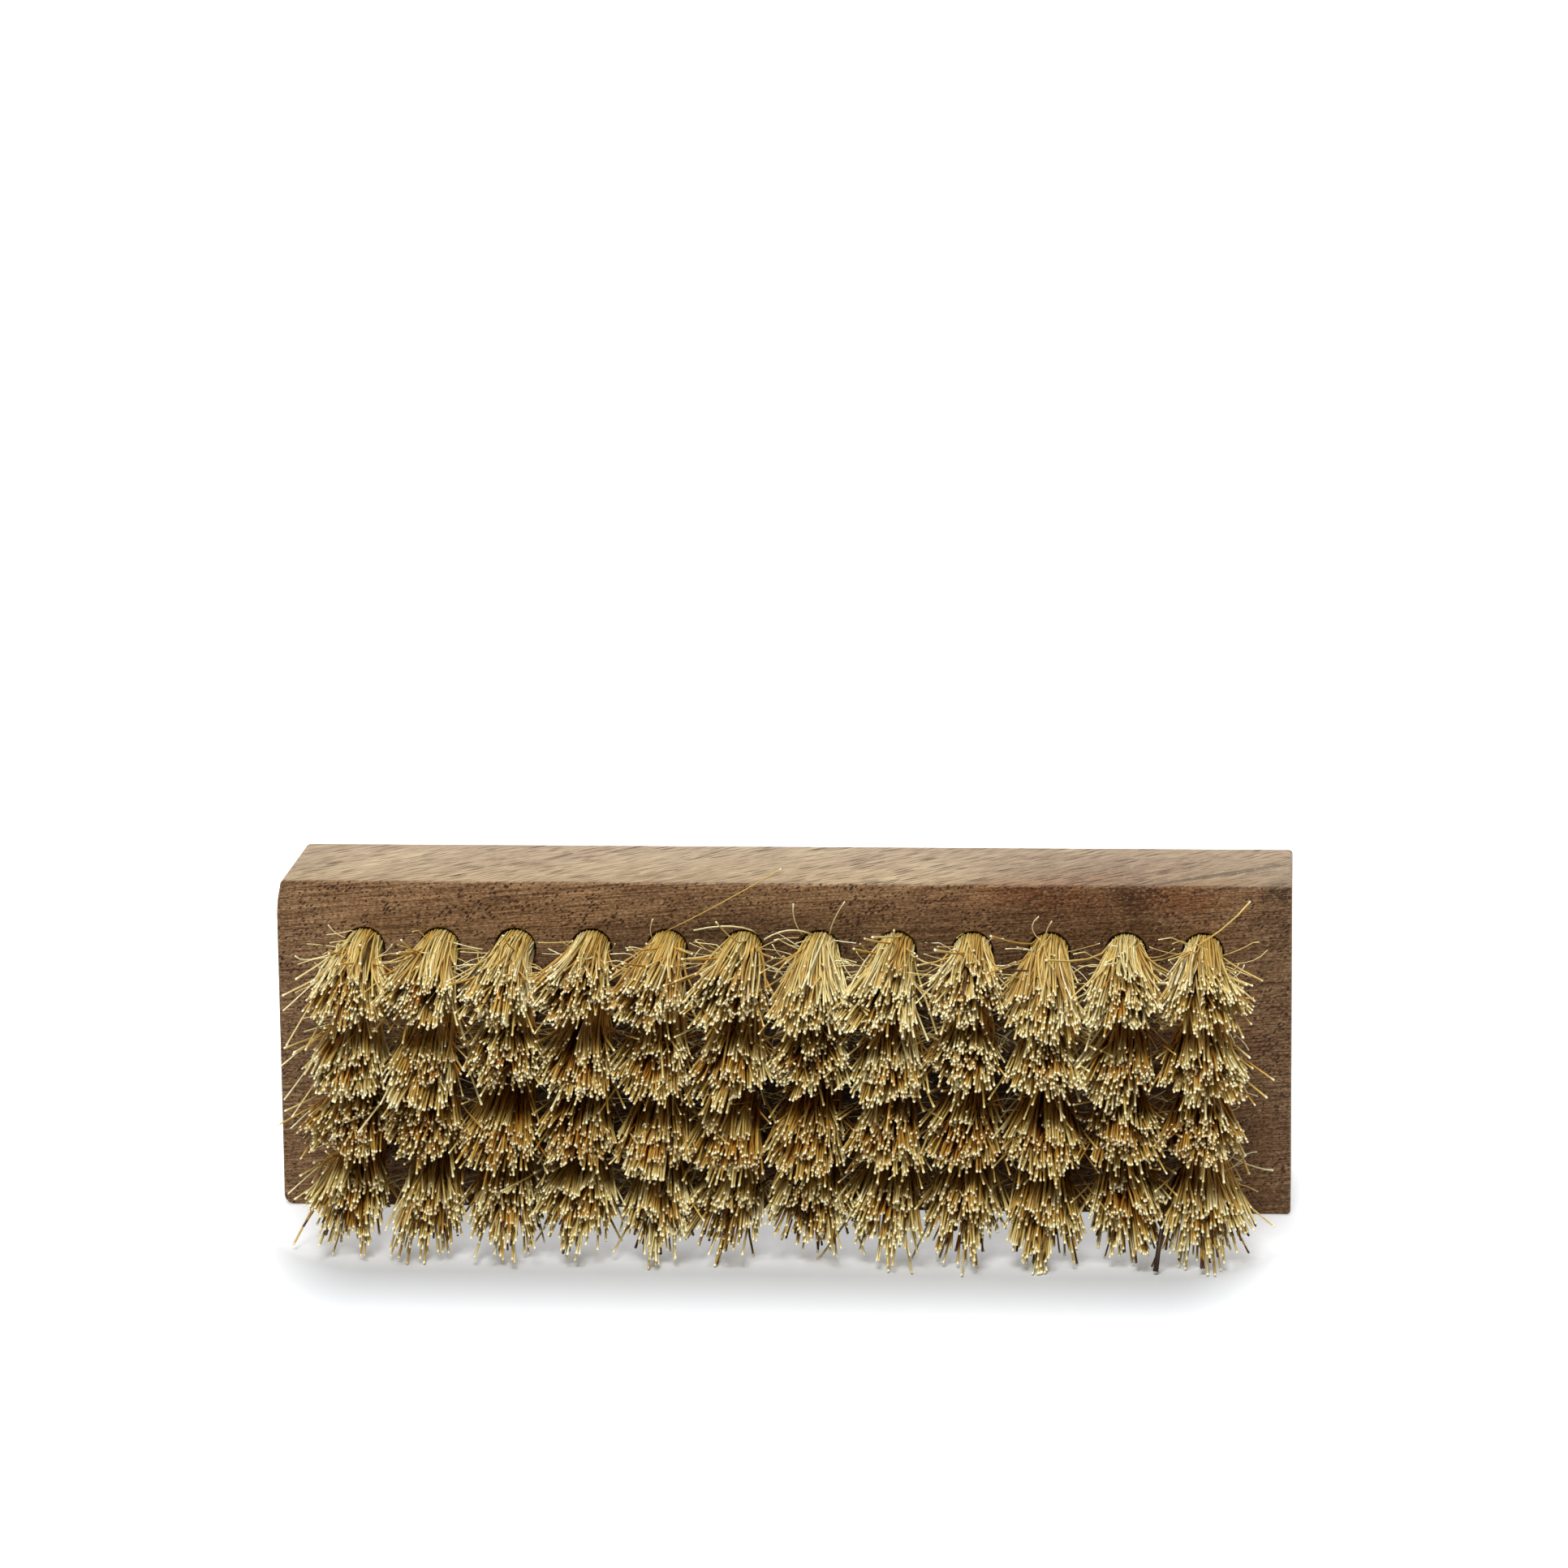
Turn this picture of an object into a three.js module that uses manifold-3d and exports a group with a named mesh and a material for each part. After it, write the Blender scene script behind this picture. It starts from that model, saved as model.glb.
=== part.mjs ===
// Wooden cleaning brush: a solid hardwood block with four rows of drilled blind holes, a tuft of
// straw-coloured plant fibre folded into each hole, and a flat wire anchor driven across each fold.
//
// Millimetres. The brush stands on one long side: X runs along the block, the bristles point to -Y,
// Z is up, and the origin is the middle of the side that it stands on.

import * as THREE from "three";
import { mergeVertices } from "three/addons/utils/BufferGeometryUtils.js";
import Module from "manifold-3d";

// Block
const BLOCK_LENGTH = 133; // along X
const BLOCK_WIDTH = 44; // along Z
const BLOCK_THICKNESS = 23; // along Y
const CORNER_RADIUS = 1.2; // the four short edges, along Y
const CORNER_STEPS = 4;
const EDGE_BEVEL = 0.3; // the sanded edges round both wide faces

// Drilled holes
const COLUMNS = 12;
const ROWS = 4;
const END_MARGIN = 11.5; // from a block end to the nearest hole axis
const SIDE_MARGIN = 9; // from a long side to the nearest hole axis
const HOLE_DIAMETER = 5.5;
const HOLE_DEPTH = 13; // straight wall, measured from the bristle face
const DRILL_POINT = 1; // height of the cone below the straight wall
const HOLE_SIDES = 12;

// Flat wire anchors, standing on edge along X in the bottom of each hole
const ANCHOR_BITE = 0.85; // reach into the wood on either side of the hole
const ANCHOR_WIDTH = 1.8; // along the hole
const ANCHOR_THICKNESS = 0.5;

// Tufts
const BRISTLE_LENGTH = 25; // trimmed length outside the block
const STRANDS = 9; // in each tuft
const STRAND_RADIUS = 0.5;
const STRAND_SIDES = 3;
const STRAND_SEAT = 1; // how deep a strand starts inside its root
const ROOT_LENGTH = 3; // tight root outside the hole, before the strands part
const ROOT_SIDES = 8;
const FOLD_THICKNESS = 1.8; // folded fibre behind the anchor
const TUFT_GAP = 0.4; // free space between the tips of neighbouring tufts
const DROOP = 3; // how far the tips hang below their hole axis

// Hidden web at the bottom of the holes, which ties the tufts of one row together
const WEB_THICKNESS = 1.2; // along the hole
const WEB_WIDTH = 1.2; // across the row

// Gap between pieces that seat on each other, and how far a cutter runs past the face that it enters
const FIT = 0.3;
const CUT_PAST = 1;

// Sizes that follow from these. Depths are measured from the bristle face into the block.
const COLUMN_SPAN = BLOCK_LENGTH - 2 * END_MARGIN;
const ROW_SPAN = BLOCK_WIDTH - 2 * SIDE_MARGIN;
const COLUMN_PITCH = COLUMN_SPAN / (COLUMNS - 1);
const ROW_PITCH = ROW_SPAN / (ROWS - 1);
const HOLE_RADIUS = HOLE_DIAMETER / 2;
const ROOT_RADIUS = HOLE_RADIUS - FIT;
const ROOT_DEPTH = HOLE_DEPTH - FIT;
const ANCHOR_LENGTH = HOLE_DIAMETER + 2 * ANCHOR_BITE;
const ANCHOR_DEPTH = ROOT_DEPTH - FOLD_THICKNESS - FIT - ANCHOR_WIDTH / 2;
const WEB_DEPTH = ROOT_DEPTH - WEB_THICKNESS / 2;
const STRAND_REACH = ROOT_RADIUS - STRAND_RADIUS;
const TIP_REACH_X = (COLUMN_PITCH - TUFT_GAP) / 2 - STRAND_RADIUS;
const TIP_REACH_Z = (ROW_PITCH - TUFT_GAP) / 2 - STRAND_RADIUS;
const GOLDEN_ANGLE = Math.PI * (3 - Math.sqrt(5));
const SAME_POINT = 1e-4; // vertices nearer than this are one

const hardwood = new THREE.MeshStandardMaterial({ color: 0x8b6447, roughness: 0.62, metalness: 0 });
const plantFibre = new THREE.MeshStandardMaterial({ color: 0xd8b468, roughness: 0.75, metalness: 0 });
const steelWire = new THREE.MeshStandardMaterial({ color: 0xb9bbbd, roughness: 0.35, metalness: 1 });

const wasm = await Module();
wasm.setup();
const { Manifold } = wasm;

/** A closed geometry, moved to a place, as a solid for cuts and joins. */
function solidOf(geometry, x = 0, y = 0, z = 0) {
  const bare = geometry.clone().translate(x, y, z);
  bare.deleteAttribute("normal");
  bare.deleteAttribute("uv");
  const merged = mergeVertices(bare, SAME_POINT);
  return new Manifold(
    new wasm.Mesh({
      numProp: 3,
      vertProperties: new Float32Array(merged.attributes.position.array),
      triVerts: new Uint32Array(merged.index.array),
    }),
  );
}

/** A solid as a geometry that a mesh can show. */
function geometryOf(solid) {
  const { vertProperties, triVerts } = solid.getMesh();
  const geometry = new THREE.BufferGeometry();
  geometry.setAttribute("position", new THREE.BufferAttribute(vertProperties, 3));
  geometry.setIndex(new THREE.BufferAttribute(triVerts, 1));
  geometry.computeVertexNormals();
  return geometry;
}

/** A named mesh. */
function meshOf(name, geometry, material) {
  const mesh = new THREE.Mesh(geometry, material);
  mesh.name = name;
  return mesh;
}

/** X of a column of holes, counted from 0 at the -X end. */
function columnX(column) {
  return column * COLUMN_PITCH - COLUMN_SPAN / 2;
}

/** Z of a row of holes, counted from 0 at the top. */
function rowZ(row) {
  return BLOCK_WIDTH - SIDE_MARGIN - row * ROW_PITCH;
}

/** The numbers from 0 up to a count. */
function upTo(count) {
  return [...Array(count).keys()];
}

/** A solid turned about Y, with flats towards X and Z. Profile points are [radius, depth]. */
function turned(profile, sides) {
  const points = profile.map(([radius, depth]) => new THREE.Vector2(radius, depth));
  return new THREE.LatheGeometry(points, sides, Math.PI / sides);
}

/** The anchor wire, or the slot that clears it. */
function anchorGeometry(clear = 0) {
  return new THREE.BoxGeometry(
    ANCHOR_LENGTH + 2 * clear,
    ANCHOR_WIDTH + 2 * clear,
    ANCHOR_THICKNESS + 2 * clear,
  );
}

/** The web of a row, or the channel that clears it. */
function webGeometry(clear = 0) {
  return new THREE.BoxGeometry(COLUMN_SPAN + 2 * clear, WEB_THICKNESS + 2 * clear, WEB_WIDTH + 2 * clear);
}

/** The drill's cut: a straight wall that ends in a cone. */
function holeGeometry() {
  const profile = [
    [0, -CUT_PAST],
    [HOLE_RADIUS, -CUT_PAST],
    [HOLE_RADIUS, HOLE_DEPTH],
    [0, HOLE_DEPTH + DRILL_POINT],
  ];
  return turned(profile, HOLE_SIDES);
}

/** The packed root of a tuft, from the bottom of its hole to a little way out of the block. */
function rootGeometry() {
  const profile = [
    [0, -ROOT_LENGTH],
    [ROOT_RADIUS, -ROOT_LENGTH],
    [ROOT_RADIUS, ROOT_DEPTH],
    [0, ROOT_DEPTH],
  ];
  return turned(profile, ROOT_SIDES);
}

/** The plain block: a rectangle with rounded corners, bevelled round both wide faces. */
function blankGeometry() {
  const x = BLOCK_LENGTH / 2;
  const z = BLOCK_WIDTH / 2;
  const r = CORNER_RADIUS;
  const outline = new THREE.Shape();
  outline.moveTo(-x + r, -z);
  outline.lineTo(x - r, -z);
  outline.absarc(x - r, -z + r, r, -Math.PI / 2, 0);
  outline.lineTo(x, z - r);
  outline.absarc(x - r, z - r, r, 0, Math.PI / 2);
  outline.lineTo(-x + r, z);
  outline.absarc(-x + r, z - r, r, Math.PI / 2, Math.PI);
  outline.lineTo(-x, -z + r);
  outline.absarc(-x + r, -z + r, r, Math.PI, (3 * Math.PI) / 2);
  const geometry = new THREE.ExtrudeGeometry(outline, {
    depth: BLOCK_THICKNESS - 2 * EDGE_BEVEL,
    curveSegments: CORNER_STEPS,
    bevelSize: EDGE_BEVEL,
    bevelThickness: EDGE_BEVEL,
    bevelOffset: -EDGE_BEVEL,
    bevelSegments: 1,
  });
  return geometry.rotateX(Math.PI / 2).translate(0, BLOCK_THICKNESS - EDGE_BEVEL, z);
}

/** One strand of the tuft in a hole, placed by a sunflower spiral, flaring from its root to its tip. */
function strandGeometry(row, column, index) {
  const reach = Math.sqrt((index + 0.5) / STRANDS);
  const angle = (index + column + row) * GOLDEN_ANGLE;
  const x = reach * Math.cos(angle);
  const z = reach * Math.sin(angle);
  const root = new THREE.Vector3(x * STRAND_REACH, STRAND_SEAT - ROOT_LENGTH, z * STRAND_REACH);
  const tip = new THREE.Vector3(x * TIP_REACH_X, -BRISTLE_LENGTH, z * TIP_REACH_Z - DROOP);
  const corners = upTo(STRAND_SIDES).map((side) => {
    const turn = (side * 2 * Math.PI) / STRAND_SIDES;
    return new THREE.Vector2(STRAND_RADIUS * Math.cos(turn), STRAND_RADIUS * Math.sin(turn));
  });
  const extrudePath = new THREE.LineCurve3(root, tip);
  return new THREE.ExtrudeGeometry(new THREE.Shape(corners), { extrudePath, steps: 1 });
}

/** The block with its holes, anchor slots and web channels cut. */
function blockGeometry() {
  const hole = holeGeometry();
  const slot = anchorGeometry(FIT);
  const channel = webGeometry(FIT);
  const cuts = [];
  for (const row of upTo(ROWS)) {
    cuts.push(solidOf(channel, 0, WEB_DEPTH, rowZ(row)));
    for (const column of upTo(COLUMNS)) {
      cuts.push(solidOf(hole, columnX(column), 0, rowZ(row)));
      cuts.push(solidOf(slot, columnX(column), ANCHOR_DEPTH, rowZ(row)));
    }
  }
  return geometryOf(solidOf(blankGeometry()).subtract(Manifold.union(cuts)));
}

/** The tufts of one row: roots slotted for their anchors, their strands, and the web that ties them. */
function bristleRowGeometry(row) {
  const root = rootGeometry();
  const slot = anchorGeometry(FIT);
  const held = [solidOf(webGeometry(), 0, WEB_DEPTH)];
  const slots = [];
  const strands = [];
  for (const column of upTo(COLUMNS)) {
    const x = columnX(column);
    held.push(solidOf(root, x));
    slots.push(solidOf(slot, x, ANCHOR_DEPTH));
    strands.push(...upTo(STRANDS).map((index) => solidOf(strandGeometry(row, column, index), x)));
  }
  const roots = Manifold.union(held).subtract(Manifold.union(slots));
  return geometryOf(Manifold.union([roots, ...strands]));
}

// Every piece is modelled from the bristle face, so one group carries them all to their place.
const onFace = new THREE.Group();
onFace.position.y = -BLOCK_THICKNESS / 2;
onFace.add(meshOf("wooden_block", blockGeometry(), hardwood));

for (const row of upTo(ROWS)) {
  const rowGroup = new THREE.Group();
  rowGroup.position.z = rowZ(row);
  rowGroup.add(meshOf(`bristle_row_${row + 1}`, bristleRowGeometry(row), plantFibre));
  for (const column of upTo(COLUMNS)) {
    const hole = String(column + 1).padStart(2, "0");
    const anchor = meshOf(`anchor_${row + 1}_${hole}`, anchorGeometry(), steelWire);
    anchor.position.set(columnX(column), ANCHOR_DEPTH, 0);
    rowGroup.add(anchor);
  }
  onFace.add(rowGroup);
}

const brush = new THREE.Group();
brush.name = "cleaning_brush";
brush.add(onFace);

export default brush;
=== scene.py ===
"""Visual model of a wooden cleaning brush with folded plant-fibre tufts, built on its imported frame."""

import logging
import math
import random
from collections.abc import Iterable, Sequence
from dataclasses import dataclass, field
from enum import Enum
from functools import partial

import bmesh
import bpy
from mathutils import Matrix, Vector
from mathutils.geometry import interpolate_bezier


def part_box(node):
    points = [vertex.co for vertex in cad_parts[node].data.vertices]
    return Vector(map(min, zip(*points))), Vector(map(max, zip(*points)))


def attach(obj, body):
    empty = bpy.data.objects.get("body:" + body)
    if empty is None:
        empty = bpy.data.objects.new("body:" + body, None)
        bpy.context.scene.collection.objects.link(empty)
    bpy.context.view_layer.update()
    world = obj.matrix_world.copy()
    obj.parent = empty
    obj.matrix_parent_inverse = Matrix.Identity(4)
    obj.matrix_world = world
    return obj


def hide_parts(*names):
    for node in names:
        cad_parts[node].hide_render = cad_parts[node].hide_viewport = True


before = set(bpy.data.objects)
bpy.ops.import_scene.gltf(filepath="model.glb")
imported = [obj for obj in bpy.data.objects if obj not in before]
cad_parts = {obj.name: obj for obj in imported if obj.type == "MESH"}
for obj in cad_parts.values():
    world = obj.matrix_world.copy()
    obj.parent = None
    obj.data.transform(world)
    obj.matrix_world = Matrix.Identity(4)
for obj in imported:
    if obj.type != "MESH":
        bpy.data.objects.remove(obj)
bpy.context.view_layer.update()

BODY = "root"
MM = 0.001
ROWS = 4
COLUMNS = 12
WHITE = "#FFFFFF"

# Sockets of a Mix node that mixes colours
MIX_FACTOR = 0
MIX_A = 6
MIX_B = 7
MIX_RESULT = 2

# Turns of the wood's vessels, of their cut ends and of the plane's marks, about X, Y and Z
VESSEL_TURNS = (0, math.radians(-4), math.radians(44))
DOT_TURNS = (0, math.radians(-38), 0)
PLANE_TURNS = (0, math.radians(-4.5), 0)

Pair = tuple[float, float]
Triple = tuple[float, float, float]
Stops = Sequence[tuple[float, str]]
Material = bpy.types.Material
Piece = bpy.types.Object
Tree = bpy.types.NodeTree
Socket = bpy.types.NodeSocket
Outputs = bpy.types.bpy_prop_collection
Shape = bmesh.types.BMesh
Edges = list[bmesh.types.BMEdge]

log = logging.getLogger("brush")


class Slot(Enum):
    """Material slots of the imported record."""

    WOOD = "oiled_wood"
    FIBRE = "plant_fibre"


def linear(code: str) -> tuple[float, float, float, float]:
    """Turns an sRGB hex colour into linear light.

    Args:
        code: colour such as "#C0A080".

    Returns:
        Red, green, blue and an alpha of 1.
    """
    shares = [int(code[place : place + 2], 16) / 255 for place in (1, 3, 5)]
    red, green, blue = (s / 12.92 if s <= 0.04045 else ((s + 0.055) / 1.055) ** 2.4 for s in shares)
    return red, green, blue, 1.0


def add_node(
    tree: Tree,
    kind: str,
    inputs: dict[int | str, object] | None = None,
    stops: Stops = (),
    **settings: object,
) -> Outputs:
    """Adds one shader node with its settings, its input values or links, and its colour ramp.

    Args:
        tree: node tree that gets the node.
        kind: Blender's name for the type of node, without ShaderNode before it.
        inputs: for each input socket, an output socket to link or a value to set.
        stops: places and hex colours of a colour ramp, from the lowest place to the highest.
        settings: properties of the node.

    Returns:
        The new node's output sockets.
    """
    node = tree.nodes.new(f"ShaderNode{kind}")
    for name, value in settings.items():
        setattr(node, name, value)
    for socket, value in (inputs or {}).items():
        if isinstance(value, Socket):
            tree.links.new(value, node.inputs[socket])
        else:
            node.inputs[socket].default_value = value
    if stops:
        elements = node.color_ramp.elements
        for element, (place, colour) in zip((elements[0], elements[-1]), (stops[0], stops[-1])):
            element.position = place
            element.color = linear(colour)
        for place, colour in stops[1:-1]:
            elements.new(place).color = linear(colour)
    return node.outputs


def new_material(name: str) -> tuple[Material, Tree]:
    """Makes an empty material.

    Args:
        name: name of the material.

    Returns:
        The material and its node tree.
    """
    material = bpy.data.materials.new(name)
    material.use_nodes = True
    material.node_tree.nodes.clear()
    return material, material.node_tree


def end_material(
    tree: Tree, colour: Socket, rough: Socket, height: Socket, relief: Pair, optics: dict[str, float]
) -> None:
    """Adds the relief, the surface and the output that a material ends with.

    Args:
        tree: node tree of the material.
        colour: its base colour.
        rough: its roughness.
        height: pattern of its relief.
        relief: strength of the relief and its depth in millimetres.
        optics: other inputs of the surface.
    """
    strength, depth = relief
    bump = add_node(tree, "Bump", {"Height": height, "Strength": strength, "Distance": depth * MM})
    inputs = {"Base Color": colour, "Roughness": rough, "Normal": bump["Normal"], **optics}
    surface = add_node(tree, "BsdfPrincipled", inputs)["BSDF"]
    add_node(tree, "OutputMaterial", {"Surface": surface})


def cells(tree: Tree, place: Socket, size: Triple, turns: Triple, middle: Triple = (0, 0, 0)) -> Socket:
    """Turns a place and divides it by a size, so that a pattern of unit cells gets that size.

    Args:
        tree: node tree that gets the node.
        place: Object coordinates.
        size: size of a cell along the turned axes, in millimetres.
        turns: turns of the pattern about X, Y and Z.
        middle: place of the pattern's origin, in millimetres.

    Returns:
        The socket that carries the place in cells.
    """
    scale, location = (tuple(length * MM for length in lengths) for lengths in (size, middle))
    inputs = {"Vector": place, "Location": location, "Rotation": turns, "Scale": scale}
    return add_node(tree, "Mapping", inputs, vector_type="TEXTURE")["Vector"]


def finished_piece(name: str, bm: Shape, material: Material) -> Piece:
    """Turns a bmesh into a smooth-shaded object at the origin.

    Args:
        name: name of the piece.
        bm: finished shape, which is freed.
        material: material of all its faces.

    Returns:
        The new object, linked to the scene.
    """
    mesh = bpy.data.meshes.new(name)
    bm.to_mesh(mesh)
    bm.free()
    mesh.shade_smooth()
    mesh.materials.append(material)
    piece = bpy.data.objects.new(name, mesh)
    bpy.context.scene.collection.objects.link(piece)
    return piece


@dataclass(frozen=True)
class Remap:
    """The ends of a range, and the values that they turn into."""

    low: float
    high: float
    to_low: float = 0.0
    to_high: float = 1.0

    def of(self, value: Socket) -> dict[str, object]:
        """Gives the inputs of a Map Range node."""
        ends = {"From Min": self.low, "From Max": self.high, "To Min": self.to_low, "To Max": self.to_high}
        return {"Value": value, **ends}


@dataclass(frozen=True)
class Grain:
    """A stretched noise: the size of its cells in millimetres, its turns, finer layers and roughness."""

    size: Triple
    turns: Triple = (0, 0, 0)
    detail: float = 2.0
    roughness: float = 0.55

    def pattern(self, tree: Tree, place: Socket) -> Socket:
        """Adds the noise.

        Args:
            tree: node tree that gets the nodes.
            place: Object coordinates.

        Returns:
            The socket that carries the pattern, from 0 to 1.
        """
        vector = cells(tree, place, self.size, self.turns)
        inputs = {"Vector": vector, "Scale": 1.0, "Detail": self.detail, "Roughness": self.roughness}
        return add_node(tree, "TexNoise", inputs)["Fac"]


@dataclass(frozen=True)
class CutVessels:
    """Vessels that a face of the wood cuts: the room of one in millimetres, turns and closed share."""

    size: Triple
    turns: Triple
    closed: float
    half_closed: float = 0.35
    reach: Remap = Remap(0.35, 0.65, 0.2, 0.4)
    edge: Remap = Remap(0.74, 1.08, 1.0, 0.0)

    def pores(self, tree: Tree, place: Socket, clusters: Socket) -> Socket:
        """Adds the open vessels, wider in some clusters than in others.

        Args:
            tree: node tree that gets the nodes.
            place: Object coordinates.
            clusters: pattern of the clusters.

        Returns:
            The socket that carries 1 in a pore and 0 elsewhere.
        """
        node = partial(add_node, tree)
        room = cells(tree, place, self.size, self.turns)
        vessels = node("TexVoronoi", {"Vector": room, "Scale": 1.0})
        reach = node("MapRange", self.reach.of(clusters))["Result"]
        near = node("Math", {0: vessels["Distance"], 1: reach}, operation="DIVIDE")[0]
        hole = node("MapRange", self.edge.of(near), interpolation_type="SMOOTHSTEP")["Result"]
        lot = node("SeparateColor", {"Color": vessels["Color"]})["Red"]
        opening = Remap(self.closed, self.closed + self.half_closed)
        share = node("MapRange", opening.of(lot))["Result"]
        return node("Math", {0: hole, 1: share}, operation="MULTIPLY")[0]


@dataclass(frozen=True)
class ColourCloud:
    """A soft, ragged cloud of colour in the wood, with its middle and half sizes in millimetres: a stain, and
    in one place painted shade under the tufts.
    """

    middle: Triple
    half: Triple
    turns: Triple
    colour: str
    strength: float
    rag_scale: float = 2.2
    rag_detail: float = 3.0
    rag_roughness: float = 0.6
    raggedness: float = 1.2
    inner_edge: float = 0.7
    outer_edge: float = 1.6

    def lay(self, tree: Tree, place: Socket, ground: Socket) -> Socket:
        """Lays the cloud over a colour.

        Args:
            tree: node tree that gets the nodes.
            place: Object coordinates.
            ground: colour under the stain.

        Returns:
            The socket that carries the stained colour.
        """
        node = partial(add_node, tree)
        spot = cells(tree, place, self.half, self.turns, self.middle)
        rags = {"Scale": self.rag_scale, "Detail": self.rag_detail, "Roughness": self.rag_roughness}
        ragged = node("TexNoise", {"Vector": spot, **rags})["Fac"]
        far = node("VectorMath", {0: spot}, operation="LENGTH")["Value"]
        edge = node("Math", {0: ragged, 1: self.raggedness, 2: far}, operation="MULTIPLY_ADD")[0]
        fade = Remap(self.inner_edge, self.outer_edge, self.strength, 0.0)
        share = node("MapRange", fade.of(edge), interpolation_type="SMOOTHSTEP")["Result"]
        mix = {MIX_FACTOR: share, MIX_A: ground, MIX_B: linear(self.colour)}
        return node("Mix", mix, data_type="RGBA")[MIX_RESULT]


@dataclass(frozen=True)
class OiledHardwood:
    """Open-pored reddish-brown hardwood, planed, drilled and rubbed with a little oil.

    The vessels run slantwise through the block. The long side cuts them lengthwise, as slanting dashes,
    and the bristle face cuts them across, as dots. Planing leaves fine level lines on the bristle face and
    the back.
    """

    pale: str = "#B49D7A"
    ground: str = "#AA9170"
    deep: str = "#9E8567"
    band_stops: Triple = (0.3, 0.5, 0.68)
    pore: str = "#3A271A"
    # Pale specks: partly raised grain, partly painted glints
    specks_and_glints: str = "#B59A78"
    # Painted shade inside the holes and on their rims
    hole_shade: str = "#2E1E12"
    # What the bristle face keeps of the light, partly from oil that the cut vessels drink and partly as
    # painted shade of that face, and how deep it goes
    oil_and_shade: str = "#C1AC9D"
    oil_and_shade_depth: float = 0.5 * MM
    bands: Grain = Grain((50.0, 8.0, 4.5), VESSEL_TURNS, 4.0)
    streaks: Grain = Grain((24.0, 0.3, 0.26), VESSEL_TURNS, 5.0)
    streak_shade: Remap = Remap(0.32, 0.68, 0.45, 1.51)
    lines: Grain = Grain((9.0, 60.0, 0.17), PLANE_TURNS, 3.0)
    line_shade: Remap = Remap(0.36, 0.64, 0.48, 1.5)
    line_depth: float = 0.5 * MM
    # Pattern of the pale specks, partly raised grain and partly painted glints
    pale_specks: Grain = Grain((0.5, 1.0, 0.17), PLANE_TURNS, 2.0)
    pale_speck_share: Remap = Remap(0.54, 0.74, 0.0, 0.5)
    clusters: Grain = Grain((24.0, 4.0, 3.0), VESSEL_TURNS, 1.0)
    # Vessels of such wood are about 0.2 mm wide. They are drawn as coarse as they need to show
    dots: CutVessels = CutVessels((0.78, 4.0, 0.38), DOT_TURNS, 0.0)
    slits: CutVessels = CutVessels((6.5, 0.42, 0.5), VESSEL_TURNS, 0.1)
    slit_share: float = 0.95
    # Powers of the shade for red, green and blue: darker wood is redder
    ruddiness: Triple = (1.0, 1.15, 1.3)
    line_relief: float = 0.4
    relief: Pair = (0.6, 0.1)
    roughness: Remap = Remap(-0.5, 1.0, 0.62, 0.36)
    ior: float = 1.5
    shine: float = 0.1
    stains_and_shade: tuple[ColourCloud, ...] = (
        ColourCloud((34, -11.5, 42.5), (17, 9, 4.0), (0, 0, 0.3), "#9A5E30", 0.5),
        ColourCloud((50, -11.5, 42.3), (14, 4, 3.6), (0, 0, 0.3), "#9A5E30", 0.5),
        ColourCloud((45.5, -11.5, 41.9), (4.2, 5, 3.4), (0, 0.5, 0), "#33261C", 0.8),
        ColourCloud((55.5, -5.5, 44), (24, 1.2, 3), (0, 0, 0.64), "#43372D", 0.85),
        ColourCloud((33.5, -11, 42.5), (3.2, 3, 0.6), (0, -0.6, 0), "#33231A", 0.6),
        ColourCloud((44, -8, 34), (34, 40, 40), (0, 0, 0), "#5E3E23", 0.5),
        # Painted shade on the bristle face under and between the tufts
        ColourCloud((0, -11.5, 21), (84, 5, 26), (0, 0, 0), "#2E1E12", 0.9),
        ColourCloud((65.5, -9, 24), (7, 30, 40), (0, 0, 0), "#4E4434", 0.4),
        ColourCloud((64.8, -11.5, 43), (3.4, 6, 1.6), (0, 0, 0), "#2B211A", 0.7),
        ColourCloud((-66, -9, 22), (9, 30, 40), (0, 0, 0), "#7A6A50", 0.4),
    )

    def material(self) -> Material:
        """Builds the wood.

        Returns:
            The material, which reads Object coordinates and the attribute of painted shade in the holes.
        """
        material, tree = new_material("oiled_hardwood")
        node = partial(add_node, tree)
        place = node("TexCoord")["Object"]
        streaks = self.streaks.pattern(tree, place)
        lines = self.lines.pattern(tree, place)
        depth = node("SeparateXYZ", {"Vector": place})["Y"]
        off_middle = node("Math", {0: depth}, operation="ABSOLUTE")[0]
        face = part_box("wooden_block")[1][1]
        skin = node("MapRange", Remap(face - self.line_depth, face).of(off_middle))["Result"]
        clusters = self.clusters.pattern(tree, place)
        slits = self.slits.pores(tree, place, clusters)
        faint = node("Math", {0: slits, 1: self.slit_share}, operation="MULTIPLY")[0]
        dots = self.dots.pores(tree, place, clusters)
        pores = node("Mix", {"Factor": skin, "A": faint, "B": dots})["Result"]
        shade = node("MapRange", self.streak_shade.of(streaks))["Result"]
        planed = node("MapRange", self.line_shade.of(lines))["Result"]
        skinned = node("Mix", {"Factor": skin, "A": 1.0, "B": planed})["Result"]
        level = node("Math", {0: shade, 1: skinned}, operation="MULTIPLY")[0]
        levels = [node("Math", {0: level, 1: power}, operation="POWER")[0] for power in self.ruddiness]
        ruddy = node("CombineXYZ", dict(zip("XYZ", levels)))["Vector"]
        ground = self.ground_with_shade(tree, place, depth)
        colour = node("VectorMath", {0: ground, 1: ruddy}, operation="MULTIPLY")["Vector"]
        # Pale specks, partly painted glints
        specks_and_glints = node("MapRange", self.pale_speck_share.of(self.pale_specks.pattern(tree, place)))["Result"]
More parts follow.
